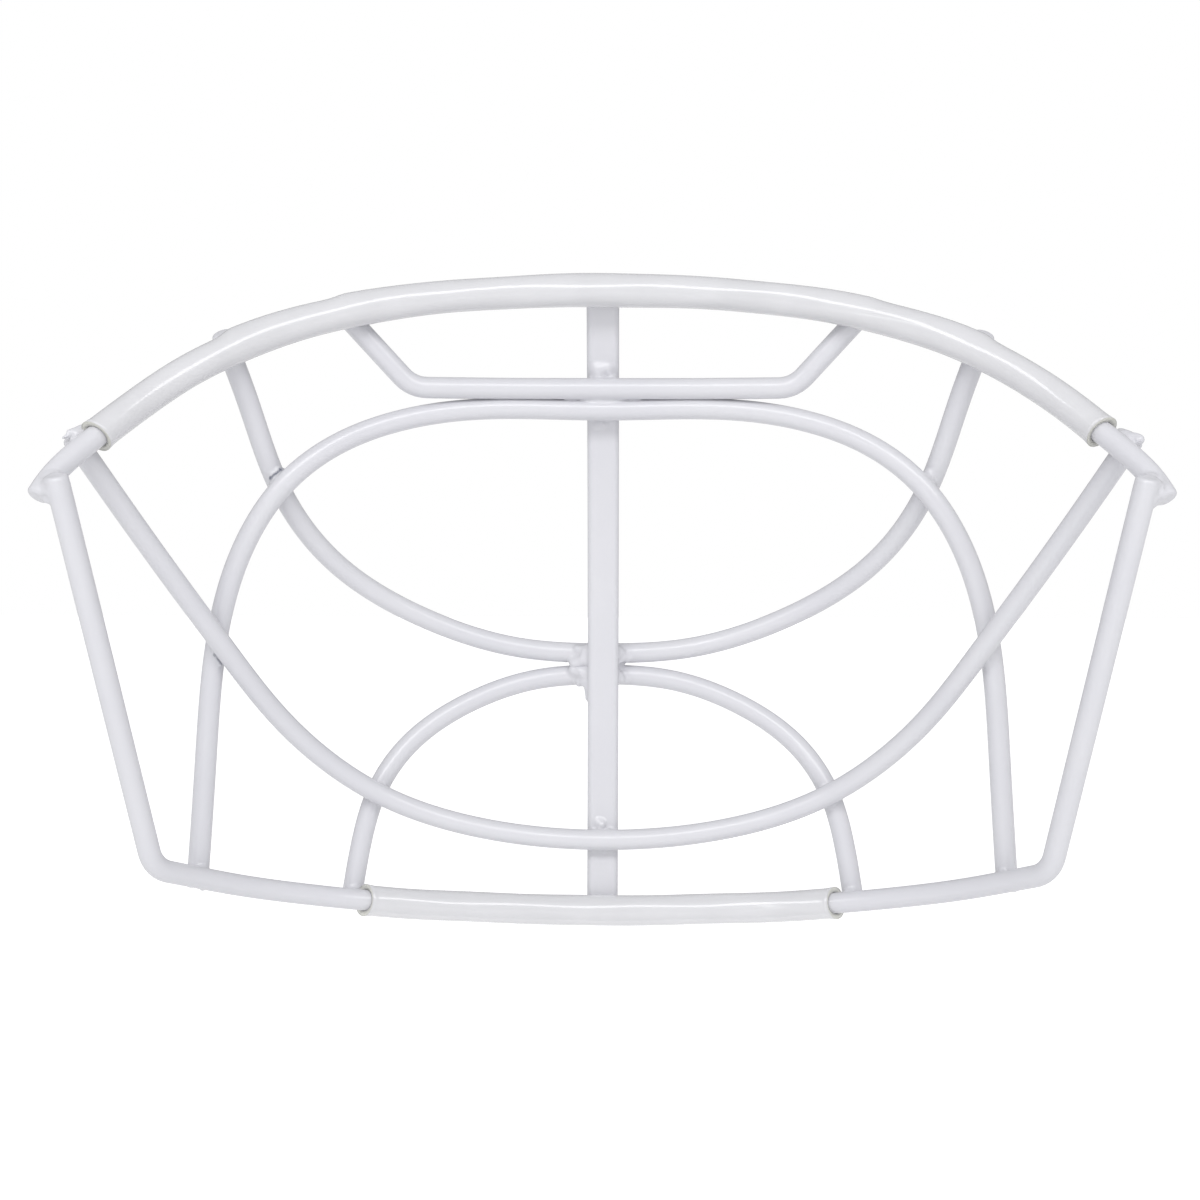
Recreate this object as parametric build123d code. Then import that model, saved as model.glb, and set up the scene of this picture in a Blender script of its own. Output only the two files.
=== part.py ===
from build123d import *
import os
from math import radians, tan

import numpy as np

os.makedirs("parts", exist_ok=True)

# Wire cage of an ice hockey goalie mask: welded, powder-coated steel wire with two
# slit vinyl tubes pushed onto the bars that seat against the mask's shell.
# Millimetres. X is left-right with the cage symmetric about X = 0, -Y is the front
# of the face, +Z is up. The origin is the centre of the cage's outer box.

# ---- driving dimensions -------------------------------------------------------------
WIRE_D = 5.0            # every round wire, over its powder coat
SEAT_GAP = 0.2          # left between crossing wires and bridged by weld metal
BAR_W = 7.6             # centre bar across the face
BAR_T = 4.0             # centre bar front to back
BAR_EDGE_R = 1.4        # rounded edges of the centre bar
END_ROUND = 0.9         # rounding of each cut wire end

SLEEVE_OD = 7.3         # clear vinyl tube
SLEEVE_BORE = 5.1       # stands 0.05 clear of the wire it grips
SLIT_R = 1.2            # half width of the slit along the front of each tube
SLEEVE_FIT = 0.15       # clearance round the wires that pass through the slit
FOREHEAD_SLEEVE_X = 108.0
CHIN_SLEEVE_X = 57.0

WELD_R = 3.0            # reach of each weld bead from the point of contact
CLOSE_WELD_R = 2.5      # reach where two crossings lie side by side
WELD_CLEAR = 0.06       # left between a bead and the bars it joins
CORNER_R = 8.0          # bend of the lower frame wire at each jaw corner

# The cage's wires lie on one bowed face. At (x, z) it stands forward of the Y origin by
# CROWN less the sweep-back towards the temples, the lean of the face and its bow.
CROWN = 26.165
SWEEP = 35.0            # sweep-back at x = SWEEP_AT, on the level z = 0
SWEEP_GAIN = -0.083     # change of that sweep-back for each millimetre up
SWEEP_AT = 100.0
SWEEP_POWER = 3.3
LEAN = -0.18
BOW = -0.0021
MID_Z = -0.148          # level of the bowed face's own zero above the origin

# Layers, counted outwards along the face's normal from the innermost wires.
INNER = 0.0
OUTER = WIRE_D + SEAT_GAP
BEHIND = -OUTER
BAR = (WIRE_D + BAR_T) / 2 + SEAT_GAP
FRONT = 2 * BAR

SAMPLE = 9.0            # spacing of the bend points along a wire
LEAST_TURN = 0.6        # degrees; a smaller turn is left straight
ARC_SHARE = 0.45        # share of the shorter run that each arc takes
STEPS = np.linspace(0, 1, 401)      # where a path is tried to find a place along it


# ---- the bowed face -----------------------------------------------------------------
def forward(x, z):
    sweep = (SWEEP + SWEEP_GAIN * z) * (abs(x) / SWEEP_AT) ** SWEEP_POWER
    return CROWN - sweep + LEAN * z + BOW * z * z


def normal_at(x, z):
    """Unit vector straight out of the bowed face over (x, z)."""
    h = 0.01
    slope_x = (forward(x + h, z) - forward(x - h, z)) / (2 * h)
    slope_z = (forward(x, z + h) - forward(x, z - h)) / (2 * h)
    return Vector(-slope_x, -1, -slope_z).normalized()


def on_face(x, z, layer):
    """Point of the given layer over (x, z) of the bowed face."""
    return Vector(x, -forward(x, z), z + MID_Z) + normal_at(x, z) * layer


# ---- curves -------------------------------------------------------------------------
def smooth_through(knots, spacing):
    """Evenly spaced rows of the natural cubic spline through the rows of knots."""
    k = np.array(knots, float)
    run = np.linalg.norm(np.diff(k[:, :2], axis=0), axis=1)
    s = np.concatenate([[0.0], np.cumsum(run)])
    n = len(k)
    a = np.eye(n)
    b = np.zeros_like(k)
    for i in range(1, n - 1):
        a[i, i - 1:i + 2] = run[i - 1], 2 * (run[i - 1] + run[i]), run[i]
        b[i] = 6 * ((k[i + 1] - k[i]) / run[i] - (k[i] - k[i - 1]) / run[i - 1])
    m = np.linalg.solve(a, b)
    rows = []
    for u in np.linspace(0, s[-1], max(3, round(s[-1] / spacing) + 1)):
        i = min(int(np.searchsorted(s, u, side="right")) - 1, n - 2)
        t, w = u - s[i], s[i + 1] - u
        h = run[i]
        rows.append(m[i] * w ** 3 / (6 * h) + m[i + 1] * t ** 3 / (6 * h)
                    + (k[i] / h - m[i] * h / 6) * w + (k[i + 1] / h - m[i + 1] * h / 6) * t)
    return rows


def mirrored(half):
    """Rows from the left end to the right end, from the rows of the +X half."""
    return [(-x, z, layer) for x, z, layer in half[:0:-1]] + list(half)


def bent_path(points, radii_at=None):
    """Straight runs joined by tangent arcs. radii_at gives a bend's own radius by index."""
    radii_at = radii_at or {}
    kept = [(points[0], None)]
    for i in range(1, len(points) - 1):
        turn = (points[i] - kept[-1][0]).get_angle(points[i + 1] - points[i])
        if turn > LEAST_TURN:
            kept.append((points[i], radii_at.get(i)))
    kept.append((points[-1], None))
    pts = [p for p, own in kept]
    radii = []
    for i in range(1, len(pts) - 1):
        before = pts[i] - pts[i - 1]
        after = pts[i + 1] - pts[i]
        turn = radians(before.get_angle(after))
        largest = ARC_SHARE * min(before.length, after.length) / tan(turn / 2)
        radii.append(kept[i][1] or largest)
    return FilletPolyline(*pts, radius=radii)


def face_path(half, spacing=SAMPLE):
    rows = smooth_through(mirrored(half), spacing)
    return bent_path([on_face(*row) for row in rows])


def tube(path, diameter, rounded=True):
    """Solid round bar along the path, with rounded ends."""
    solid = sweep(Plane(path @ 0, z_dir=path % 0) * Circle(diameter / 2), path=path)
    if rounded:
        ends = [min(solid.edges(), key=lambda e: (e.center() - path @ t).length) for t in (0, 1)]
        solid = fillet(ends, END_ROUND)
    return solid


# ---- courses of the wires: (x, z, layer) on the bowed face, from the middle out ------
FOREHEAD = [(0, 72.5, INNER), (24, 72, INNER), (47.5, 69.5, INNER), (70.5, 63.5, INNER),
            (91.5, 52.5, INNER), (101, 44.5, INNER), (109, 36, INNER), (116, 26.5, INNER),
            (117.8, 22.6, INNER)]
CHIN = [(0, -74.5, INNER), (25, -74, INNER), (48, -72.5, INNER), (70, -69, INNER),
        (85, -65, INNER), (100, -59, INNER)]
ARCH_OVER_EYE = (74.5, 28)          # where the eye arch crosses the lower eye wire
CHEEK_OVER_ARCH = (87.3, -10.5)
CHEEK_OVER_MOUTH = (54.2, -46)
ARCH = [(0, 46.4, INNER), (32, 46.3, INNER), (48, 43.6, INNER), (63, 37.5, INNER),
        (*ARCH_OVER_EYE, INNER), (82.5, 13, OUTER / 2), (*CHEEK_OVER_ARCH, OUTER),
        (89, -34.5, OUTER), (90, -65.1, OUTER)]
LOWER_EYE = [(0, -13, FRONT), (22, -11.5, FRONT), (43, -4.5, FRONT - 0.5),
             (61, 7.5, FRONT - 1.5), (*ARCH_OVER_EYE, OUTER), (79.5, 46, OUTER),
             (83.6, 60.3, OUTER)]
CHEEK = [(0, -57.5, INNER), (28, -55, INNER), (*CHEEK_OVER_MOUTH, INNER), (75.5, -28, INNER),
         (*CHEEK_OVER_ARCH, INNER), (97, 8, OUTER / 2), (109, 33.5, OUTER), (110.1, 35.8, OUTER)]
MOUTH = [(0, -18.2, FRONT), (17, -19.5, FRONT), (33, -25, FRONT - 1), (47, -35, FRONT - 2.5),
         (*CHEEK_OVER_MOUTH, OUTER), (57.3, -57.5, OUTER), (59.5, -73, OUTER)]
BROW_CORNER = (44.7, 51.2, INNER)
BROW_TIP = (60.8, 68.1, OUTER + 0.5)
BROW_BEND_R = 8.0
SIDE_TOP = (117, 25, BEHIND)
SIDE_OVERRUN = 2.6
CENTRE_TOP_Z = 75.5
CENTRE_FOOT_Z = -77.0

# Places along the frame where a wire crosses it: (x, z) on the bowed face.
BROW_ON_FOREHEAD = (59.4, 66.7)
EYE_ON_FOREHEAD = (82.8, 57.6)
CHEEK_ON_FOREHEAD = (109.8, 35.1)
ARCH_ON_CHIN = (89.8, -63.5)
MOUTH_ON_CHIN = (59.3, -71)


def lower_frame_path():
    """Up one side bar, round the chin and down to the other side bar's top."""
    chin = [on_face(*row) for row in smooth_through(mirrored(CHIN), SAMPLE)]
    del chin[-2], chin[1]
    top = on_face(*SIDE_TOP)
    top += (top - chin[-1]).normalized() * SIDE_OVERRUN
    points = [Vector(-top.X, top.Y, top.Z)] + chin + [top]
    return bent_path(points, {1: CORNER_R, len(points) - 2: CORNER_R})


def brow_path():
    """Level bar over the eyes whose two legs rise to the forehead bar."""
    x, z, layer = BROW_CORNER
    half = [(0, z, layer), (x / 2, z, layer), BROW_CORNER, BROW_TIP]
    points = [on_face(*row) for row in mirrored(half)]
    return bent_path(points, {1: BROW_BEND_R, len(points) - 2: BROW_BEND_R})


def centre_path():
    rows = smooth_through([(0, CENTRE_TOP_Z, BAR), (0, 0, BAR), (0, CENTRE_FOOT_Z, BAR)], SAMPLE)
    return bent_path([on_face(*row) for row in rows])


def centre_bar(path, extra=0.0):
    """Flat bar up the middle of the face, grown all round by extra."""
    start = Plane(path @ 0, x_dir=(1, 0, 0), z_dir=path % 0)
    section = RectangleRounded(BAR_W + 2 * extra, BAR_T + 2 * extra, BAR_EDGE_R + extra)
    return sweep(start * section, path=path)


def cut_at(solid, path, x):
    """Square the solid's two ends off across the path, where it reaches -x and +x."""
    for side in (-1, 1):
        u = min(STEPS, key=lambda t: abs((path @ t).X - side * x))
        across = Plane(path @ u, z_dir=(path % u) * side)
        solid = split(solid, bisect_by=across, keep=Keep.BOTTOM)
    return solid


def sleeve(course, grip_path, end_x, passing, beads):
    """Tube slit along its front, notched round the wires and beads that pass through."""
    hose = tube(grip_path, SLEEVE_OD, rounded=False) - tube(grip_path, SLEEVE_BORE, rounded=False)
    wall_middle = (SLEEVE_OD + SLEEVE_BORE) / 4
    slit = face_path([(x, z, layer + wall_middle) for x, z, layer in course])
    hose -= tube(slit, 2 * SLIT_R, rounded=False)
    hose = cut_at(hose, grip_path, end_x)
    for wire in passing:
        hose -= wire
    for bead in beads:
        hose -= bead
    return hose


def bead_at(x, z, layer, reach=WELD_R):
    """Ball of weld metal about the point where two layers touch."""
    return Plane(on_face(x, z, layer), z_dir=normal_at(x, z)) * Sphere(reach)


def bead_holes(places, layer):
    """Clearance balls round the beads at those places and their mirror images."""
    return [bead_at(side * x, z, layer, WELD_R + SLEEVE_FIT)
            for x, z in places for side in ((-1, 1) if x else (1,))]


def straight_piece(path, section, near):
    """Straight stretch of a bar of that section, laid along the path where it is nearest."""
    u = min(STEPS, key=lambda t: (path @ t - near).length)
    sideways = (path % u).cross(normal_at(near.X, near.Z))
    across = Plane(path @ u, x_dir=sideways, z_dir=path % u)
    return extrude(across * section, 2 * WELD_R, both=True)


def weld(places, layer, joined, reach=WELD_R):
    """One bead at each place and its mirror image, cut back to the bars it joins."""
    beads = []
    for x, z in places:
        for side in ((-1, 1) if x else (1,)):
            bead = bead_at(side * x, z, layer, reach)
            near = on_face(side * x, z, layer)
            for path, section in joined:
                bead -= straight_piece(path, section, near)
            beads += bead.solids()
    return Compound(children=beads)


# ---- build --------------------------------------------------------------------------
paths = {
    "forehead_bar": face_path(FOREHEAD),
    "lower_frame_bar": lower_frame_path(),
    "brow_wire": brow_path(),
    "eye_arch_wire": face_path(ARCH),
    "lower_eye_wire": face_path(LOWER_EYE),
    "cheek_wire": face_path(CHEEK),
    "mouth_arch_wire": face_path(MOUTH),
}
centre_line = centre_path()
WIRE_SECTION = Circle(WIRE_D / 2 + WELD_CLEAR)
BAR_SECTION = RectangleRounded(BAR_W + 2 * WELD_CLEAR, BAR_T + 2 * WELD_CLEAR, BAR_EDGE_R)
forehead, frame, brow, arch, lower_eye, cheek, mouth = [(p, WIRE_SECTION) for p in paths.values()]
centre = (centre_line, BAR_SECTION)

wire_seat = OUTER / 2                               # between two wires
behind_seat = BEHIND / 2
bar_seat = (WIRE_D + SEAT_GAP) / 2                  # between an inner wire and the centre bar
bar_front = BAR + (BAR_T + SEAT_GAP) / 2            # between the centre bar and a front wire

nodes = {name: tube(path, WIRE_D) for name, path in paths.items()}
nodes["centre_bar"] = centre_bar(centre_line)
nodes |= {
    "weld_forehead_centre": weld([FOREHEAD[0][:2]], bar_seat, [forehead, centre]),
    "weld_forehead_brow": weld([BROW_ON_FOREHEAD], wire_seat, [forehead, brow]),
    "weld_forehead_lower_eye": weld([EYE_ON_FOREHEAD], wire_seat, [forehead, lower_eye]),
    "weld_forehead_cheek": weld([CHEEK_ON_FOREHEAD], wire_seat, [forehead, cheek]),
    "weld_forehead_side": weld([SIDE_TOP[:2]], behind_seat, [forehead, frame]),
    "weld_chin_centre": weld([CHIN[0][:2]], bar_seat, [frame, centre]),
    "weld_chin_arch": weld([ARCH_ON_CHIN], wire_seat, [frame, arch]),
    "weld_chin_mouth": weld([MOUTH_ON_CHIN], wire_seat, [frame, mouth]),
    "weld_centre_brow": weld([(0, BROW_CORNER[1])], bar_seat, [centre, brow], CLOSE_WELD_R),
    "weld_centre_arch": weld([ARCH[0][:2]], bar_seat, [centre, arch], CLOSE_WELD_R),
    "weld_centre_lower_eye": weld([LOWER_EYE[0][:2]], bar_front, [centre, lower_eye], CLOSE_WELD_R),
    "weld_centre_mouth": weld([MOUTH[0][:2]], bar_front, [centre, mouth], CLOSE_WELD_R),
    "weld_centre_cheek": weld([CHEEK[0][:2]], bar_seat, [centre, cheek]),
    "weld_arch_lower_eye": weld([ARCH_OVER_EYE], wire_seat, [arch, lower_eye]),
    "weld_arch_cheek": weld([CHEEK_OVER_ARCH], wire_seat, [arch, cheek]),
    "weld_mouth_cheek": weld([CHEEK_OVER_MOUTH], wire_seat, [mouth, cheek]),
}

bar_hole = centre_bar(centre_line, SLEEVE_FIT)
holes = {name: tube(paths[name], WIRE_D + 2 * SLEEVE_FIT, rounded=False)
         for name in ("brow_wire", "lower_eye_wire", "cheek_wire", "mouth_arch_wire")}

nodes["forehead_sleeve"] = sleeve(
    FOREHEAD, paths["forehead_bar"], FOREHEAD_SLEEVE_X,
    [bar_hole, holes["brow_wire"], holes["lower_eye_wire"], holes["cheek_wire"]],
    bead_holes([FOREHEAD[0][:2]], bar_seat)
    + bead_holes([BROW_ON_FOREHEAD, EYE_ON_FOREHEAD, CHEEK_ON_FOREHEAD], wire_seat))
nodes["chin_sleeve"] = sleeve(
    CHIN, paths["lower_frame_bar"], CHIN_SLEEVE_X, [bar_hole, holes["mouth_arch_wire"]],
    bead_holes([CHIN[0][:2]], bar_seat) + bead_holes([MOUTH_ON_CHIN], wire_seat))

for name, solid in nodes.items():
    print(name, round(solid.volume, 1), len(solid.solids()), solid.is_valid)
    export_step(solid, f"parts/{name}.step")
box = Compound(children=list(nodes.values())).bounding_box()
print("box", box.min, box.max)
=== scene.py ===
from math import cos, pi, radians, sin, tan

import bpy
import numpy as np
from mathutils import Matrix, Vector


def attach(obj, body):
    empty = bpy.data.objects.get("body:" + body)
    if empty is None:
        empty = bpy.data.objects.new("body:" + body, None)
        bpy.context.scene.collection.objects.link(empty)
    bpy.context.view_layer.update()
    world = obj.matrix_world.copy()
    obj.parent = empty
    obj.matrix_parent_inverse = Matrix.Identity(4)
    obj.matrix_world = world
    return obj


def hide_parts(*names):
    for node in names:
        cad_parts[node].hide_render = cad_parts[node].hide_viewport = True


# Looks of a goalie mask's wire cage. Shapes are worked out in millimetres, in the frame of
# the CAD: X left-right, -Y the front of the face, +Z up. Meshes are written in metres.
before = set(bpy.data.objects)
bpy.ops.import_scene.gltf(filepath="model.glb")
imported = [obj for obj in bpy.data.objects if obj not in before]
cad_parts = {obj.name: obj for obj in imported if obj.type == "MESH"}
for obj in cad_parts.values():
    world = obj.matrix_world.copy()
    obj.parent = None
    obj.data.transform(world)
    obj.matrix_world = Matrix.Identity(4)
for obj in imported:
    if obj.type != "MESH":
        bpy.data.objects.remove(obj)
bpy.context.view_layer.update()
MM = 0.001

# ---- sizes --------------------------------------------------------------------------
WIRE_R = 2.5
SEAT_GAP = 0.2
BAR_W, BAR_T, BAR_EDGE_R = 7.6, 4.0, 1.4
END_ROUND = 0.9
STEP = 1.1                  # spacing of the rings along every wire
AROUND = 36                 # points round every wire

# The bowed face that every wire lies on, as in the CAD.
CROWN, SWEEP, SWEEP_GAIN, SWEEP_AT, SWEEP_POWER = 26.165, 35.0, -0.083, 100.0, 3.3
LEAN, BOW, MID_Z = -0.18, -0.0021, -0.148

# Layers along the face's normal, counted outwards from the innermost wires.
INNER = 0.0
OUTER = 2 * WIRE_R + SEAT_GAP
BEHIND = -OUTER
BAR = WIRE_R + BAR_T / 2 + SEAT_GAP
FRONT = 2 * BAR


# ---- the bowed face and the lines on it ---------------------------------------------
def forward(x, z):
    sweep = (SWEEP + SWEEP_GAIN * z) * (np.abs(x) / SWEEP_AT) ** SWEEP_POWER
    return CROWN - sweep + LEAN * z + BOW * z * z


def face_normal(x, z):
    h = 0.01
    slope_x = (forward(x + h, z) - forward(x - h, z)) / (2 * h)
    slope_z = (forward(x, z + h) - forward(x, z - h)) / (2 * h)
    n = np.stack([-slope_x, -np.ones_like(slope_x), -slope_z], -1)
    return n / np.linalg.norm(n, axis=-1, keepdims=True)


def on_face(rows):
    """Points of rows (x, z, layer)."""
    x, z, layer = np.asarray(rows, float).T
    flat = np.stack([x, -forward(x, z), z + MID_Z], -1)
    return flat + face_normal(x, z) * layer[..., None]


def smooth_through(knots, spacing):
    """Rows of the natural cubic spline through the rows of knots."""
    k = np.array(knots, float)
    run = np.linalg.norm(np.diff(k[:, :2], axis=0), axis=1)
    s = np.concatenate([[0.0], np.cumsum(run)])
    n = len(k)
    a = np.eye(n)
    b = np.zeros_like(k)
    for i in range(1, n - 1):
        a[i, i - 1:i + 2] = run[i - 1], 2 * (run[i - 1] + run[i]), run[i]
        b[i] = 6 * ((k[i + 1] - k[i]) / run[i] - (k[i] - k[i - 1]) / run[i - 1])
    m = np.linalg.solve(a, b)
    rows = []
    for u in np.linspace(0, s[-1], max(3, round(s[-1] / spacing) + 1)):
        i = min(int(np.searchsorted(s, u, side="right")) - 1, n - 2)
        t, w, h = u - s[i], s[i + 1] - u, run[i]
        rows.append(m[i] * w ** 3 / (6 * h) + m[i + 1] * t ** 3 / (6 * h)
                    + (k[i] / h - m[i] * h / 6) * w + (k[i + 1] / h - m[i + 1] * h / 6) * t)
    return np.array(rows)


def mirrored(half):
    return [(-x, z, layer) for x, z, layer in half[:0:-1]] + list(half)


def even(points, spacing=STEP):
    """The same line with its points evenly spaced."""
    p = np.asarray(points, float)
    s = np.concatenate([[0], np.cumsum(np.linalg.norm(np.diff(p, axis=0), axis=1))])
    u = np.linspace(0, s[-1], round(s[-1] / spacing) + 1)
    return np.stack([np.interp(u, s, p[:, i]) for i in range(3)], -1)


def with_bends(points, radius_at):
    """The line with an arc of its own radius in place of each listed corner."""
    out = []
    for i, p in enumerate(points):
        if i not in radius_at:
            out.append(p)
            continue
        into = p - points[i - 1]
        away = points[i + 1] - p
        into, away = into / np.linalg.norm(into), away / np.linalg.norm(away)
        turn = np.arccos(np.clip(into @ away, -1, 1))
        radius = radius_at[i]
        start = p - into * radius * tan(turn / 2)
        side = away - into * (into @ away)
        side /= np.linalg.norm(side)
        for t in np.linspace(0, turn, 17):
            out.append(start + into * radius * sin(t) + side * radius * (1 - cos(t)))
    return np.array(out)


# ---- courses of the wires, from the middle out ---------------------------------------
FOREHEAD = [(0, 72.5, INNER), (24, 72, INNER), (47.5, 69.5, INNER), (70.5, 63.5, INNER),
            (91.5, 52.5, INNER), (101, 44.5, INNER), (109, 36, INNER), (116, 26.5, INNER),
            (117.8, 22.6, INNER)]
CHIN = [(0, -74.5, INNER), (25, -74, INNER), (48, -72.5, INNER), (70, -69, INNER),
        (85, -65, INNER), (100, -59, INNER)]
ARCH_OVER_EYE = (74.5, 28)
CHEEK_OVER_ARCH = (87.3, -10.5)
CHEEK_OVER_MOUTH = (54.2, -46)
ARCH = [(0, 46.4, INNER), (32, 46.3, INNER), (48, 43.6, INNER), (63, 37.5, INNER),
        (*ARCH_OVER_EYE, INNER), (82.5, 13, OUTER / 2), (*CHEEK_OVER_ARCH, OUTER),
        (89, -34.5, OUTER), (90, -65.1, OUTER)]
LOWER_EYE = [(0, -13, FRONT), (22, -11.5, FRONT), (43, -4.5, FRONT - 0.5),
             (61, 7.5, FRONT - 1.5), (*ARCH_OVER_EYE, OUTER), (79.5, 46, OUTER),
             (83.6, 60.3, OUTER)]
CHEEK = [(0, -57.5, INNER), (28, -55, INNER), (*CHEEK_OVER_MOUTH, INNER), (75.5, -28, INNER),
         (*CHEEK_OVER_ARCH, INNER), (97, 8, OUTER / 2), (109, 33.5, OUTER), (110.1, 35.8, OUTER)]
MOUTH = [(0, -18.2, FRONT), (17, -19.5, FRONT), (33, -25, FRONT - 1), (47, -35, FRONT - 2.5),
         (*CHEEK_OVER_MOUTH, OUTER), (57.3, -57.5, OUTER), (59.5, -73, OUTER)]
BROW_CORNER = (44.7, 51.2, INNER)
BROW_TIP = (60.8, 68.1, OUTER + 0.5)
BEND_R = 8.0
SIDE_TOP = (117, 25, BEHIND)
SIDE_OVERRUN = 2.6
BAR_TOP_Z, BAR_FOOT_Z = 74.3, -76.6
BROW_ON_FOREHEAD = (59.4, 66.7)
EYE_ON_FOREHEAD = (82.8, 57.6)
CHEEK_ON_FOREHEAD = (109.8, 35.1)
ARCH_ON_CHIN = (89.8, -63.5)
MOUTH_ON_CHIN = (59.3, -71)


def face_line(half):
    return even(on_face(smooth_through(mirrored(half), STEP)))


def lower_frame_line():
    chin = on_face(smooth_through(mirrored(CHIN), STEP))
    clear = 11.0                                    # of the jaw corners, for their bends
    span = np.linalg.norm(chin[1:-1, None] - chin[None, [0, -1]], axis=-1).min(-1)
    chin = np.concatenate([chin[:1], chin[1:-1][span > clear], chin[-1:]])
    top = on_face([SIDE_TOP])[0]
    rise = top - chin[-1]
    top = top + rise / np.linalg.norm(rise) * SIDE_OVERRUN
    line = np.concatenate([[top * (-1, 1, 1)], chin, [top]])
    return even(with_bends(line, {1: BEND_R, len(line) - 2: BEND_R}))


def brow_line():
    x, z, layer = BROW_CORNER
    half = [(0, z, layer), (x / 2, z, layer), BROW_CORNER, BROW_TIP]
    return even(with_bends(on_face(mirrored(half)), {1: BEND_R, 5: BEND_R}))


LINES = {
    "forehead_bar": face_line(FOREHEAD),
    "lower_frame_bar": lower_frame_line(),
    "brow_wire": brow_line(),
    "eye_arch_wire": face_line(ARCH),
    "lower_eye_wire": face_line(LOWER_EYE),
    "cheek_wire": face_line(CHEEK),
    "mouth_arch_wire": face_line(MOUTH),
    "centre_bar": even(on_face([(0, z, BAR) for z in np.linspace(BAR_TOP_Z, BAR_FOOT_Z, 140)])),
}


# ---- meshes -------------------------------------------------------------------------
def unit(v):
    return v / np.linalg.norm(v, axis=-1, keepdims=True)


def tangents(line):
    return unit(np.gradient(line, axis=0))


def carried_frames(line):
    """Two unit vectors across the line at each point, turned as little as possible."""
    t = tangents(line)
    first = np.cross(t[0], (0, 1, 0))
    side = [first / np.linalg.norm(first)]
    for i in range(1, len(line)):
        s = side[-1] - t[i] * (side[-1] @ t[i])
        side.append(s / np.linalg.norm(s))
    side = np.array(side)
    return side, np.cross(t, side)


def rounded_ends(line, rounding, count=6):
    """(point, tangent index, inset) of every ring: the rounding at each end, then the line."""
    t = tangents(line)
    head = [(line[0] + t[0] * rounding * (1 - cos(pi / 2 * k / count)), 0,
             rounding * (1 - sin(pi / 2 * k / count))) for k in range(count + 1)]
    tail = [(line[-1] - t[-1] * rounding * (1 - cos(pi / 2 * k / count)), len(line) - 1,
             rounding * (1 - sin(pi / 2 * k / count))) for k in range(count, -1, -1)]
    middle = [(line[i], i, 0.0) for i in range(1, len(line) - 1)
              if min(np.linalg.norm(line[i] - line[0]), np.linalg.norm(line[i] - line[-1]))
              > rounding + 0.2]
    return head + middle + tail


def lumps(p, size, seed):
    """Smooth uneven number between about -1 and 1 for each point, the same every time."""
    rng = np.random.default_rng(seed)
    total = np.zeros(len(p))
    for _ in range(6):
        d = unit(rng.normal(size=3))
        total += np.sin(p @ d * (2 * pi / size) * rng.uniform(0.7, 1.5) + rng.uniform(0, 2 * pi))
    return total / 3.0


def skin(rings):
    """Quads between rings of the same count, and a fan of triangles over each end."""
    n = len(rings[0])
    verts = np.concatenate(rings)
    faces = []
    for r in range(len(rings) - 1):
        for k in range(n):
            k2 = (k + 1) % n
            faces.append((r * n + k, r * n + k2, (r + 1) * n + k2, (r + 1) * n + k))
    for r, way in ((0, 1), (len(rings) - 1, -1)):
        verts = np.concatenate([verts, [rings[r].mean(0)]])
        hub = len(verts) - 1
        for k in range(n):
            k2 = (k + 1) % n
            tri = (r * n + k2, r * n + k, hub)
            faces.append(tri if way == 1 else tri[::-1])
    return verts, faces


def round_wire(line, rounding):
    """Tube of the wire's size along the line, its ends rounded."""
    side, other = carried_frames(line)
    a = np.linspace(0, 2 * pi, AROUND, endpoint=False)[:, None]
    rings = []
    for p, i, inset in rounded_ends(line, rounding):
        spoke = np.cos(a) * side[i] + np.sin(a) * other[i]
        rings.append(p + spoke * (WIRE_R - inset))
    return skin(rings)


def bar_section(inset):
    """Points round the flat bar's section: across, then front to back."""
    w, t, r = BAR_W / 2 - inset, BAR_T / 2 - inset, BAR_EDGE_R
    corner = [(cos(b), sin(b)) for b in np.linspace(0, pi / 2, 7)]
    quarter = [(w - r + r * c, t - r + r * s) for c, s in corner]
    edge = [(x, t) for x in np.linspace(w - r, -(w - r), 9)[1:-1]]
    half = quarter + edge + [(-x, y) for x, y in quarter[::-1]]
    return np.array(half + [(-x, -y) for x, y in half])


def flat_bar(line):
    """The bar's section along the line, its width held left to right."""
    t = tangents(line)
    rings = []
    for p, i, inset in rounded_ends(line, END_ROUND):
        out = np.cross(t[i], (1.0, 0, 0))
        section = bar_section(inset)
        rings.append(p + section[:, :1] * np.array([1.0, 0, 0]) + section[:, 1:] * out)
    return skin(rings)


def add_piece(name, verts, faces, materials, nodes, face_material=None, crease_shade=None):
    mesh = bpy.data.meshes.new(name)
    mesh.from_pydata((np.asarray(verts) * MM).tolist(), [], [tuple(map(int, f)) for f in faces])
    for m in materials:
        mesh.materials.append(m)
    mesh.polygons.foreach_set("use_smooth", [True] * len(mesh.polygons))
    if face_material is not None:
        mesh.polygons.foreach_set("material_index", list(face_material))
    if crease_shade is not None:
        layer = mesh.attributes.new("crease_shade", "FLOAT", "POINT")
        layer.data.foreach_set("value", list(map(float, crease_shade)))
    mesh.update()
    piece = bpy.data.objects.new(name, mesh)
    bpy.context.scene.collection.objects.link(piece)
    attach(piece, "root")
    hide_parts(*nodes)
    return piece


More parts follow.
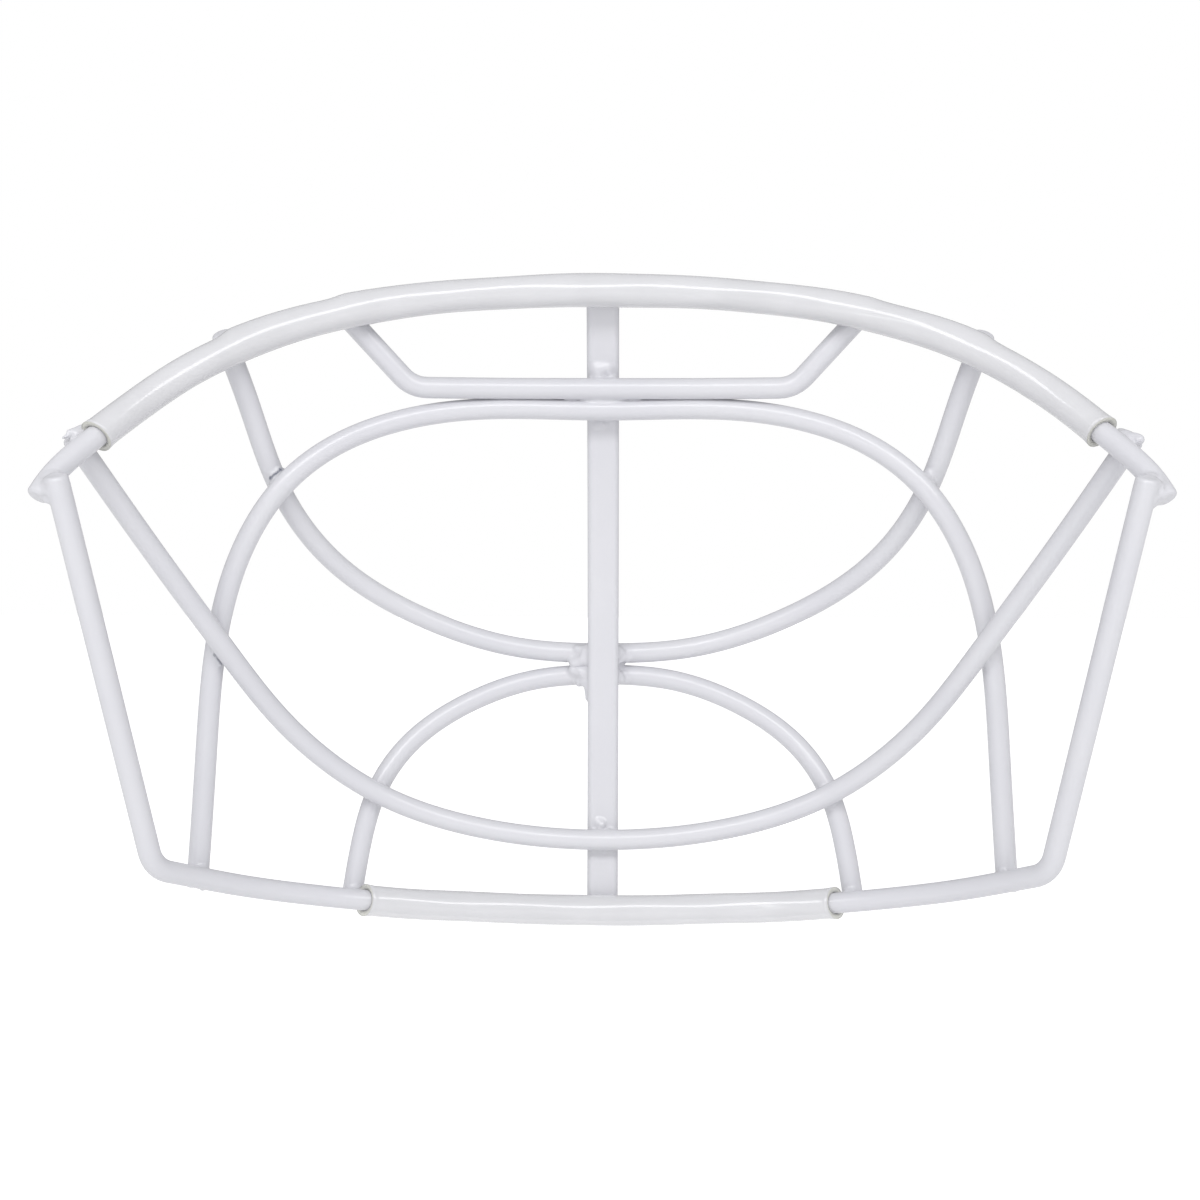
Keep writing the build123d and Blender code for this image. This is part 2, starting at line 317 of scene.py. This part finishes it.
# ---- distances, for the welds ---------------------------------------------------------
PAST_END = 9.0              # straight run added to a line's end, then cut off round there
BAR_REACH = 1.7             # times a weld's reach: how much of each line is looked at
FILL_TOP, FILL_SLOPE, FILL_LEAST = 1.9, 0.25, 0.01     # fading of the fill away from a weld
LUMP_SIZE, LUMP_MEAN, LUMP_SWING = 2.6, 0.6, 0.9       # unevenness of the weld metal
DRIP_FILL = 1.1             # fill of the crease between a drip and what it sits on
SINK = 0.03                 # depth of a weld mesh under the bars where it adds nothing
CELL = 0.4                  # of the grid that a weld's surface is found on
PULLS = 3                   # times that the surface's points are drawn onto it
PULL_MOST, SLOPE_LEAST, SLOPE_STEP = 0.3, 0.2, 0.02


def rounded_both(a, b, r):
    """Inside both a and b, with their edge rounded to radius r."""
    q = np.stack([a + r, b + r])
    return np.minimum(q.max(0), 0) + np.linalg.norm(np.maximum(q, 0), axis=0) - r


def nearest_on(p, line):
    """Distance to the line and the offset from its nearest point, for each of p."""
    a, d = line[:-1], np.diff(line, axis=0)
    t = np.einsum("nmk,mk->nm", p[:, None] - a[None], d) / (d * d).sum(1)
    t = np.clip(t, 0, 1)
    gap = p[:, None] - (a[None] + t[..., None] * d[None])
    dist = np.linalg.norm(gap, axis=-1)
    best = dist.argmin(1)
    rows = np.arange(len(p))
    return dist[rows, best], gap[rows, best], unit(d)[best]


def bar_distance(name, p, centre, reach):
    """Distance of points to that wire's or bar's surface, less than 0 inside."""
    line = LINES[name]
    near = np.flatnonzero(np.linalg.norm(line - centre, axis=1) < reach * BAR_REACH)
    first, last = near[0], near[-1]
    part = line[first:last + 1]
    ends = []
    if first == 0:
        out = unit(line[0] - line[1])
        ends.append((line[0], out))
        part = np.concatenate([[part[0] + out * PAST_END], part])
    if last == len(line) - 1:
        out = unit(line[-1] - line[-2])
        ends.append((line[-1], out))
        part = np.concatenate([part, [part[-1] + out * PAST_END]])
    dist, gap, way = nearest_on(p, part)
    if name == "centre_bar":
        out = np.cross(way, (1.0, 0, 0))
        across, depth = np.abs(gap[:, 0]), np.abs((gap * out).sum(1))
        d = rounded_both(across - BAR_W / 2, depth - BAR_T / 2, BAR_EDGE_R)
    else:
        d = dist - WIRE_R
    for end, out in ends:
        d = rounded_both(d, (p - end) @ out, END_ROUND)
    return d


def taper_distance(p, start, end, r0, r1):
    """Distance to a round taper from r0 at the start to r1 at the end."""
    d = end - start
    t = np.clip((p - start) @ d / (d @ d), 0, 1)
    return np.linalg.norm(p - start - t[:, None] * d, axis=1) - (r0 + (r1 - r0) * t)


def joined_smoothly(a, b, fill):
    """Smaller of two distances, with the crease between them filled; and where it is."""
    h = np.maximum(fill - np.abs(a - b), 0) / fill
    return np.minimum(a, b) - h * h * fill / 4, h


def weld_field(joined, centre, reach, fill, blob, drips, seed):
    """Function giving the distance to the weld and the bars it joins, round the centre."""
    def field(p):
        away = np.linalg.norm(p - centre, axis=1)
        fade = np.exp(-(away / (0.5 * reach)) ** 2)
        near = fill * np.clip(FILL_TOP - FILL_SLOPE * away, FILL_LEAST, 1)
        lift = np.zeros(len(p))
        total = None
        for name in joined:
            d = bar_distance(name, p, centre, reach)
            if total is None:
                total = d
                continue
            total, h = joined_smoothly(total, d, near)
            lift = np.maximum(lift, h)
        for start, end, r0, r1 in drips:
            total, _ = joined_smoothly(total, taper_distance(p, start, end, r0, r1), DRIP_FILL)
        uneven = LUMP_MEAN + LUMP_SWING * lumps(p, LUMP_SIZE, seed)
        total = total - blob * fade * lift * uneven
        return np.maximum(total + SINK, away - reach)
    return field


def surface_of(field, centre, reach):
    """Closed mesh of the field's zero level round the centre."""
    n = int(np.ceil(2 * (reach + 2 * CELL) / CELL)) + 1
    low = centre - (n - 1) / 2 * CELL
    grid = np.stack(np.meshgrid(*[np.arange(n)] * 3, indexing="ij"), -1)
    value = field(low + grid.reshape(-1, 3) * CELL).reshape(n, n, n)
    cells = (n - 1,) * 3
    total = np.zeros(cells + (3,))
    count = np.zeros(cells)
    corner = grid[:-1, :-1, :-1].astype(float)

    def shifted(o):
        return value[o[0]:n - 1 + o[0], o[1]:n - 1 + o[1], o[2]:n - 1 + o[2]]

    for axis in range(3):
        for i in (0, 1):
            for j in (0, 1):
                o = np.insert([i, j], axis, 0)
                e = np.eye(3, dtype=int)[axis]
                a, b = shifted(o), shifted(o + e)
                cross = (a < 0) != (b < 0)
                t = np.where(cross, a / np.where(cross, a - b, 1), 0)
                total += np.where(cross[..., None], o + t[..., None] * e, 0)
                count += cross
    active = count > 0
    index = np.full(cells, -1)
    index[active] = np.arange(active.sum())
    verts = low + (corner[active] + total[active] / count[active][:, None]) * CELL
    faces = []
    for axis in range(3):
        e = np.eye(3, dtype=int)[axis]
        u, v = (axis + 1) % 3, (axis + 2) % 3
        sign = value < 0
        hi = [slice(0, n - 1) if k == axis else slice(1, n - 1) for k in range(3)]
        nxt = [slice(1, n) if k == axis else slice(1, n - 1) for k in range(3)]
        change = sign[tuple(hi)] != sign[tuple(nxt)]
        at = np.argwhere(change) + np.array([0 if k == axis else 1 for k in range(3)])
        out = sign[tuple(at.T)]
        eu, ev = np.eye(3, dtype=int)[u], np.eye(3, dtype=int)[v]
        ring = [index[tuple((at + o).T)] for o in (-eu - ev, -ev, 0 * eu, -eu)]
        quads = np.stack(ring, 1)
        quads[~out] = quads[~out][:, ::-1]
        faces.append(quads)
    faces = np.concatenate(faces)
    for _ in range(PULLS):
        here = field(verts)
        slope = np.stack([(field(verts + d) - field(verts - d)) / (2 * SLOPE_STEP)
                          for d in np.eye(3) * SLOPE_STEP], -1)
        size = np.maximum((slope ** 2).sum(1), SLOPE_LEAST)
        move = slope * (here / size)[:, None]
        far = np.linalg.norm(move, axis=1, keepdims=True)
        verts = verts - move * np.minimum(1, PULL_MOST / np.maximum(far, 1e-9))
    return verts, faces


# ---- materials ------------------------------------------------------------------------
def new_material(name):
    m = bpy.data.materials.new(name)
    m.use_nodes = True
    tree = m.node_tree
    return m, tree, tree.nodes["Principled BSDF"]


def node(tree, kind, **values):
    made = tree.nodes.new(kind)
    for key, value in values.items():
        if key in made.inputs:
            made.inputs[key].default_value = value
        else:
            setattr(made, key, value)
    return made


def ramp(tree, source, stops):
    made = tree.nodes.new("ShaderNodeValToRGB")
    elements = made.color_ramp.elements
    while len(elements) < len(stops):
        elements.new(0.5)
    for element, (at, colour) in zip(elements, stops):
        element.position = at
        element.color = (*colour, 1)
    tree.links.new(source, made.inputs["Fac"])
    return made.outputs["Color"]


def powder_coat(name, light, shade, peel):
    """White gloss powder coat: faint cloudiness, orange peel, a clear top layer."""
    m, tree, bsdf = new_material(name)
    place = node(tree, "ShaderNodeTexCoord").outputs["Object"]
    cloud = node(tree, "ShaderNodeTexNoise", Scale=28.0, Detail=2.0)
    tree.links.new(place, cloud.inputs["Vector"])
    colour = ramp(tree, cloud.outputs["Fac"], [(0.36, shade), (0.62, light)])
    tree.links.new(colour, bsdf.inputs["Base Color"])
    gloss = node(tree, "ShaderNodeTexNoise", Scale=240.0, Detail=4.0)
    tree.links.new(place, gloss.inputs["Vector"])
    rough = ramp(tree, gloss.outputs["Fac"], [(0.3, (0.33,) * 3), (0.75, (0.40,) * 3)])
    tree.links.new(rough, bsdf.inputs["Roughness"])
    skin_noise = node(tree, "ShaderNodeTexNoise", Scale=620.0, Detail=3.0, Roughness=0.55)
    tree.links.new(place, skin_noise.inputs["Vector"])
    bump = node(tree, "ShaderNodeBump", Strength=peel, Distance=0.0004)
    tree.links.new(skin_noise.outputs["Fac"], bump.inputs["Height"])
    tree.links.new(bump.outputs["Normal"], bsdf.inputs["Normal"])
    bsdf.inputs["Coat Weight"].default_value = 0.6
    bsdf.inputs["Coat Roughness"].default_value = 0.12
    bsdf.inputs["IOR"].default_value = 1.48
    return m, tree, bsdf, colour


COAT_LIGHT = (0.645, 0.645, 0.675)
COAT_SHADE = (0.625, 0.625, 0.66)
coat = powder_coat("powder_coat_white", COAT_LIGHT, COAT_SHADE, 0.10)[0]
weld_coat, tree, bsdf, colour = powder_coat("weld_coat_white", COAT_LIGHT, COAT_SHADE, 0.22)
# Painted shade: the mesh's per-point darkness mixes a dark blue-grey into the weld coat's colour,
# along the creases of two welds.
crease_shade = node(tree, "ShaderNodeAttribute", attribute_name="crease_shade")
mixed = node(tree, "ShaderNodeMixRGB", Color2=(0.11, 0.12, 0.16, 1))
tree.links.new(crease_shade.outputs["Fac"], mixed.inputs["Fac"])
tree.links.new(colour, mixed.inputs["Color1"])
tree.links.new(mixed.outputs["Color"], bsdf.inputs["Base Color"])


def vinyl(name, tint, clear, rough):
    m, tree, bsdf = new_material(name)
    place = node(tree, "ShaderNodeTexCoord").outputs["Object"]
    haze = node(tree, "ShaderNodeTexNoise", Scale=90.0, Detail=4.0)
    tree.links.new(place, haze.inputs["Vector"])
    paler = tuple(min(1.0, c + 0.03) for c in tint)
    colour = ramp(tree, haze.outputs["Fac"], [(0.35, tint), (0.7, paler)])
    tree.links.new(colour, bsdf.inputs["Base Color"])
    ripple = node(tree, "ShaderNodeTexNoise", Scale=150.0, Detail=4.0, Roughness=0.6)
    tree.links.new(place, ripple.inputs["Vector"])
    bump = node(tree, "ShaderNodeBump", Strength=0.2, Distance=0.0008)
    tree.links.new(ripple.outputs["Fac"], bump.inputs["Height"])
    tree.links.new(bump.outputs["Normal"], bsdf.inputs["Normal"])
    bsdf.inputs["Roughness"].default_value = rough
    bsdf.inputs["IOR"].default_value = 1.4
    bsdf.inputs["Transmission Weight"].default_value = clear
    bsdf.inputs["Coat Weight"].default_value = 0.9
    bsdf.inputs["Coat Roughness"].default_value = 0.10
    return m


clear_vinyl = vinyl("clear_vinyl_tube", (0.68, 0.68, 0.70), 0.10, 0.25)
cut_vinyl = vinyl("clear_vinyl_cut_rim", (0.60, 0.60, 0.55), 0.1, 0.4)

# ---- wires and bar ----------------------------------------------------------------------
# The side bars' tops are ground off round where they are welded over the forehead bar.
ROUNDINGS = {"lower_frame_bar": 2.1}

for name, line in LINES.items():
    if name == "centre_bar":
        verts, faces = flat_bar(line)
    else:
        verts, faces = round_wire(line, ROUNDINGS.get(name, END_ROUND))
    add_piece("cage_" + name, verts, faces, [coat], [name])

# ---- welds ------------------------------------------------------------------------------
WIRE_SEAT = OUTER / 2
BEHIND_SEAT = BEHIND / 2
BAR_SEAT = WIRE_R + SEAT_GAP / 2
BAR_FRONT = BAR + (BAR_T + SEAT_GAP) / 2
REACH = 6.4                 # of a weld's mesh from its middle
DRIP_REACH = 3.6            # more of it where there are drips
SEAM_DEPTH = 2.5            # how far out from the wearer a seam stays dark
SEAM_BREAK = 1.2            # size of the breaks in it

CENTRE_FRONT = ("centre_bar", "lower_eye_wire", "mouth_arch_wire")
CENTRE_BROWS = ("centre_bar", "brow_wire", "eye_arch_wire")

# name: (place on the face, layer, bars joined, fill of the crevice, lumpiness). A weld off the
# middle has a twin on the other side.
WELDS = {
    "weld_forehead_centre": ((0, 72.5), BAR_SEAT, ("forehead_bar", "centre_bar"), 2.6, 0.15),
    "weld_forehead_brow": (BROW_ON_FOREHEAD, WIRE_SEAT, ("forehead_bar", "brow_wire"), 2.6, 0.2),
    "weld_forehead_lower_eye": (EYE_ON_FOREHEAD, WIRE_SEAT, ("forehead_bar", "lower_eye_wire"),
                                2.6, 0.2),
    "weld_forehead_cheek": (CHEEK_ON_FOREHEAD, WIRE_SEAT, ("forehead_bar", "cheek_wire"), 3, 0.12),
    "weld_forehead_side": (SIDE_TOP[:2], BEHIND_SEAT, ("forehead_bar", "lower_frame_bar"),
                           3.2, 0.5),
    "weld_chin_centre": ((0, -74.5), BAR_SEAT, ("lower_frame_bar", "centre_bar"), 2.6, 0.15),
    "weld_chin_arch": (ARCH_ON_CHIN, WIRE_SEAT, ("lower_frame_bar", "eye_arch_wire"), 2.8, 0.35),
    "weld_chin_mouth": (MOUTH_ON_CHIN, WIRE_SEAT, ("lower_frame_bar", "mouth_arch_wire"),
                        2.8, 0.3),
    "weld_centre_brow": ((0, 51.2), BAR_SEAT, CENTRE_BROWS, 2.2, 0.2),
    "weld_centre_arch": ((0, 46), BAR_SEAT, CENTRE_BROWS, 2.2, 0.2),
    "weld_centre_lower_eye": ((0, -13), BAR_FRONT, CENTRE_FRONT, 3.4, 0.9),
    "weld_centre_mouth": ((0, -18.2), BAR_FRONT, CENTRE_FRONT, 3.0, 0.8),
    "weld_centre_cheek": ((0, -57.5), BAR_SEAT, ("centre_bar", "cheek_wire"), 2.4, 0.3),
    "weld_arch_lower_eye": (ARCH_OVER_EYE, WIRE_SEAT, ("eye_arch_wire", "lower_eye_wire"),
                            2.8, 0.2),
    "weld_arch_cheek": (CHEEK_OVER_ARCH, WIRE_SEAT, ("eye_arch_wire", "cheek_wire"), 2.2, 0.25),
    "weld_mouth_cheek": (CHEEK_OVER_MOUTH, WIRE_SEAT, ("mouth_arch_wire", "cheek_wire"),
                         2.2, 0.25),
}

# Drips and spatter of weld metal under the coat: ends as (x, z, layer), then their radii.
DRIPS = {
    "weld_forehead_cheek": [
        ((108.9, 37.4, 4.4), (111.9, 35.3, 4.6), 1.0, 0.25),
        ((109.2, 36.9, 4.4), (110.9, 36.9, 4.6), 1.2, 0.3),
        ((-108.6, 36.7, 4.2), (-111.5, 35.4, 4.0), 1.5, 1.15)],
    "weld_centre_brow": [((-0.8, 54.9, 3.3), (1.1, 54.7, 3.3), 1.6, 1.9)],
    "weld_centre_arch": [((0.2, 42.6, 3.1), (1.2, 42.3, 3.1), 1.1, 0.9)],
    "weld_centre_lower_eye": [((4.2, -14.0, 6.5), (7.0, -15.0, 7.2), 1.9, 1.6),
                              ((4.4, -12.0, 6.6), (6.4, -11.6, 7.2), 1.2, 0.8),
                              ((-4.2, -13.0, 6.8), (-5.8, -14.0, 7.4), 1.4, 0.9)],
    "weld_centre_mouth": [((4.2, -17.2, 6.5), (7.2, -16.8, 7.2), 1.9, 1.5),
                          ((4.2, -19.0, 6.4), (6.0, -20.0, 7.0), 1.4, 0.9),
                          ((3.9, -20.2, 5.6), (4.0, -23.4, 5.2), 0.9, 0.4),
                          ((-4.2, -18.8, 6.8), (-5.4, -19.4, 7.4), 1.2, 0.8)],
    "weld_arch_lower_eye": [((74.0, 31.2, 2.4), (76.3, 29.1, 2.4), 0.2, 0.2)],
    "weld_centre_cheek": [((0.4, -53.8, 3.2), (0.9, -53.5, 3.2), 1.3, 1.1)],
}

# Painted shade in the creases of two welds, as dark broken lines on the face: (x, z, layer) ends,
# width.
SEAM_SHADE_LINES = {
    "weld_arch_lower_eye": [((74.0, 31.2, 2.6), (76.3, 29.1, 2.6), 0.34)],
    "weld_arch_cheek": [((88.4, -11.8, 2.6), (86.2, -15.6, 2.6), 0.3)],
}


def painted_seam_shade(verts, seams, seed):
    """Painted shade of each point: dark along broken lines in a weld's crease, with a spot at each
    end of them.
    """
    dark = np.zeros(len(verts))
    flat = np.array([1, 0, 1])
    for start, end, width in seams:
        a, b = on_face([start, end])
        off = np.maximum(taper_distance(verts * flat, a * flat, b * flat, 0, 0), 0)
        ends = np.minimum(*(np.linalg.norm((verts - q) * flat, axis=1) for q in (a, b)))
        unbroken = np.clip(0.75 + 0.5 * lumps(verts, SEAM_BREAK, seed), 0, 1)
        thread = np.exp(-(off / width) ** 4) * unbroken
        spots = np.exp(-((ends - width) / (0.5 * width)) ** 2)
        facing = verts[:, 1] > (a + b)[1] / 2 - SEAM_DEPTH
        dark = np.maximum(dark, np.maximum(thread, spots) * facing)
    return dark


for number, (name, ((x, z), layer, joined, fill, blob)) in enumerate(WELDS.items()):
    verts, faces = np.zeros((0, 3)), np.zeros((0, 4), int)
    for side in ((-1, 1) if x else (1,)):
        centre = on_face([(side * x, z, layer)])[0]
        drips = [(*on_face([start, end]), r0, r1) for start, end, r0, r1 in
                 DRIPS.get(name, []) if not x or start[0] * side > 0]
        reach = REACH + (DRIP_REACH if drips else 0)
        field = weld_field(joined, centre, reach, fill, blob, drips, number * 2 + side + 1)
        v, f = surface_of(field, centre, reach)
        faces = np.concatenate([faces, f + len(verts)])
        verts = np.concatenate([verts, v])
    # Painted shade along the welds' creases, stored on each point of the mesh.
    dark = painted_seam_shade(verts, SEAM_SHADE_LINES.get(name, []), number)
    add_piece("cage_" + name, verts, faces, [weld_coat], [name], crease_shade=dark)

# ---- vinyl tubes --------------------------------------------------------------------------
TUBE_OUT, TUBE_IN = 3.65, 2.56
TUBE_STEP, TUBE_AROUND = 0.8, 40
FLARE, FLARE_LENGTH = 0.22, 1.3             # of the tube's ends
SLANT_LENGTH = 6                            # over which the cut's slant dies away
GAPE_INNER, GAPE_OUTER = 9, 6               # how far the slit gapes beside a wire's end
SLIT_HALF = radians(10)                     # of the slit's opening, seen from the bar
SLIT_WIDER = (radians(55), radians(10))     # more of it where it gapes, at its two lips
RISE_FROM, CREST_FROM, RISE_SPAN = radians(35), radians(95), radians(60)
CREST_MORE = 0.9                            # of a rise, past its crest
WAVE, WAVES_AROUND, WAVES_ALONG = 0.05, 3, 0.21


def bulge(x, at, inner, outer, height):
    """Rise near a wire's end, long towards the middle of the face and short away from it."""
    d = x * np.sign(at) - abs(at) if at else np.abs(x)
    width = np.where(d < 0, inner, outer)
    return height * np.exp(-(d / width) ** 2)


def vinyl_tube(line, ends, rises, slant, up):
    """C-shaped tube round the line between two x, cut aslant. Returns verts, faces, rim flags."""
    keep = (line[:, 0] >= ends[0]) & (line[:, 0] <= ends[1])
    path = even(line[keep], TUBE_STEP)
    t = tangents(path)
    normal = face_normal(path[:, 0], path[:, 2] - MID_Z)
    normal = unit(normal - t * (normal * t).sum(1, keepdims=True))
    over = np.cross(normal, t) * up
    x = path[:, 0]
    s = np.concatenate([[0], np.cumsum(np.linalg.norm(np.diff(path, axis=0), axis=1))])
    from_end = np.minimum(s, s[-1] - s)
    flare = FLARE * np.exp(-(from_end / FLARE_LENGTH) ** 2)
    shear = slant * np.sign(s - s[-1] / 2) * np.exp(-(from_end / SLANT_LENGTH) ** 2)
    gape = np.zeros(len(x))
    lift = np.zeros(len(x))
    for at, inner, outer, height in rises:
        lift += bulge(x, at, inner, outer, height)
        gape = np.maximum(gape, bulge(x, at, GAPE_INNER, GAPE_OUTER, 1.0))
    n = TUBE_AROUND
    rings = []
    for i in range(len(path)):
        low = -(pi - SLIT_HALF - gape[i] * SLIT_WIDER[0])
        high = pi - SLIT_HALF - gape[i] * SLIT_WIDER[1]
        a = np.linspace(low, high, n)
        rise = lift[i] * np.clip((a - RISE_FROM) / RISE_SPAN, 0, 1) ** 2 * (
            1 + CREST_MORE * np.clip((a - CREST_FROM) / RISE_SPAN, 0, 1))
        spoke = -np.cos(a)[:, None] * normal[i] + np.sin(a)[:, None] * over[i]
        wave = WAVE * np.sin(a * WAVES_AROUND + s[i] * WAVES_ALONG)
        outer_r = TUBE_OUT + flare[i] + rise + wave
        inner_r = TUBE_IN + flare[i] * 0.3 + rise
        place = path[i] - np.cos(a)[:, None] * shear[i] * t[i]
        rings.append(np.concatenate([place + spoke * outer_r[:, None],
                                     (place + spoke * inner_r[:, None])[::-1]]))
    verts = np.concatenate(rings)
    m = 2 * n
    faces, rim = [], []
    for r in range(len(rings) - 1):
        for k in range(m):
            k2 = (k + 1) % m
            faces.append((r * m + k, r * m + k2, (r + 1) * m + k2, (r + 1) * m + k))
            rim.append(0)
    for r, way in ((0, 1), (len(rings) - 1, -1)):
        for k in range(n - 1):
            quad = (r * m + k + 1, r * m + k, r * m + m - 1 - k, r * m + m - 2 - k)
            faces.append(quad if way == 1 else quad[::-1])
            rim.append(1)
    return verts, faces, rim


# Where wires behind a tube lift it: (x, length inwards, length outwards, height).
FOREHEAD_RISES = [(0, 20, 20, 0.4), (57.5, 16, 3, 0.5), (81.5, 16, 2.4, 0.7),
                  (-59.6, 16, 3, 0.3), (-83.4, 16, 2.4, 0.5)]
CHIN_RISES = [(0, 12, 12, 0.15)]
for name, wire, ends, rises, slant, up in (
        ("forehead_sleeve", "forehead_bar", (-108.0, 108.9), FOREHEAD_RISES, 0.5, 1),
        ("chin_sleeve", "lower_frame_bar", (-56.6, 58.0), CHIN_RISES, 1.3, -1)):
    verts, faces, rim = vinyl_tube(LINES[wire], ends, rises, slant, up)
    add_piece("cage_" + name, verts, faces, [clear_vinyl, cut_vinyl], [name],
              face_material=rim)

# ---- stage --------------------------------------------------------------------------------
FLOOR_Z = -0.20
# Strength of the surroundings' light from the wearer's side and from the front of the face.
NEAR_LIGHT, FAR_LIGHT = 0.82, 0.47
# The floor glows by the sum where the camera sees it, and by the second where it lights the cage.
SEEN_GLOW, FLOOR_GLOW = 0.4, 0.16
bpy.ops.mesh.primitive_plane_add(size=60, location=(0, 0, FLOOR_Z))
floor = bpy.context.object
floor.name = "floor"
floor_white, tree, bsdf = new_material("floor_white")
bsdf.inputs["Base Color"].default_value = (0.93, 0.93, 0.93, 1)
bsdf.inputs["Roughness"].default_value = 0.9
bsdf.inputs["Emission Color"].default_value = (1, 1, 1, 1)
glow = node(tree, "ShaderNodeMath", operation="MULTIPLY_ADD")
glow.inputs[1].default_value = SEEN_GLOW
glow.inputs[2].default_value = FLOOR_GLOW
tree.links.new(node(tree, "ShaderNodeLightPath").outputs["Is Camera Ray"], glow.inputs[0])
tree.links.new(glow.outputs[0], bsdf.inputs["Emission Strength"])
floor.data.materials.append(floor_white)

world = bpy.data.worlds.new("soft_white")
world.use_nodes = True
tree = world.node_tree
out = tree.nodes["World Output"]
surround = tree.nodes["Background"]
toward = node(tree, "ShaderNodeSeparateXYZ")
tree.links.new(node(tree, "ShaderNodeTexCoord").outputs["Generated"], toward.inputs[0])
soft = node(tree, "ShaderNodeMapRange")
for key, value in (("From Min", -0.7), ("From Max", 0.7),
                   ("To Min", FAR_LIGHT), ("To Max", NEAR_LIGHT)):
    soft.inputs[key].default_value = value
tree.links.new(toward.outputs["Y"], soft.inputs["Value"])
tree.links.new(soft.outputs["Result"], surround.inputs["Strength"])
plain = node(tree, "ShaderNodeBackground", Color=(1, 1, 1, 1), Strength=1.0)   # seen, not lit by
surround.inputs["Color"].default_value = (0.985, 0.985, 1, 1)
pick = node(tree, "ShaderNodeMixShader")
tree.links.new(node(tree, "ShaderNodeLightPath").outputs["Is Camera Ray"], pick.inputs["Fac"])
tree.links.new(surround.outputs[0], pick.inputs[1])
tree.links.new(plain.outputs[0], pick.inputs[2])
tree.links.new(pick.outputs[0], out.inputs["Surface"])
bpy.context.scene.world = world


def soft_light(name, place, size, power):
    data = bpy.data.lights.new(name, "AREA")
    data.shape = "RECTANGLE"
    data.size, data.size_y = size
    data.energy = power
    lamp = bpy.data.objects.new(name, data)
    lamp.location = place
    lamp.rotation_euler = (-Vector(place)).to_track_quat("-Z", "Y").to_euler()
    bpy.context.scene.collection.objects.link(lamp)


soft_light("key", (0.0, 0.74, 0.5), (1.5, 0.22), 4.3)
soft_light("strip", (0.16, 0.64, 0.12), (0.04, 0.9), 0.3)

CAMERA_AT = (-0.00537, 0.4006, 0.00131)
CAMERA_LOOK = (0.0143, -1, 0)
CAMERA_ROLL = radians(0.17)
camera = bpy.data.objects.new("camera", bpy.data.cameras.new("camera"))
camera.data.sensor_width = 36
camera.data.lens = 52.5
camera.data.clip_start, camera.data.clip_end = 0.01, 20
turn = Vector(CAMERA_LOOK).normalized().to_track_quat("-Z", "Y").to_matrix()
roll = Matrix.Rotation(CAMERA_ROLL, 3, "Z")
camera.matrix_world = Matrix.Translation(CAMERA_AT) @ (turn @ roll).to_4x4()
bpy.context.scene.collection.objects.link(camera)
bpy.context.scene.camera = camera
bpy.context.scene.view_settings.view_transform = "Standard"
bpy.context.scene.view_settings.look = "None"
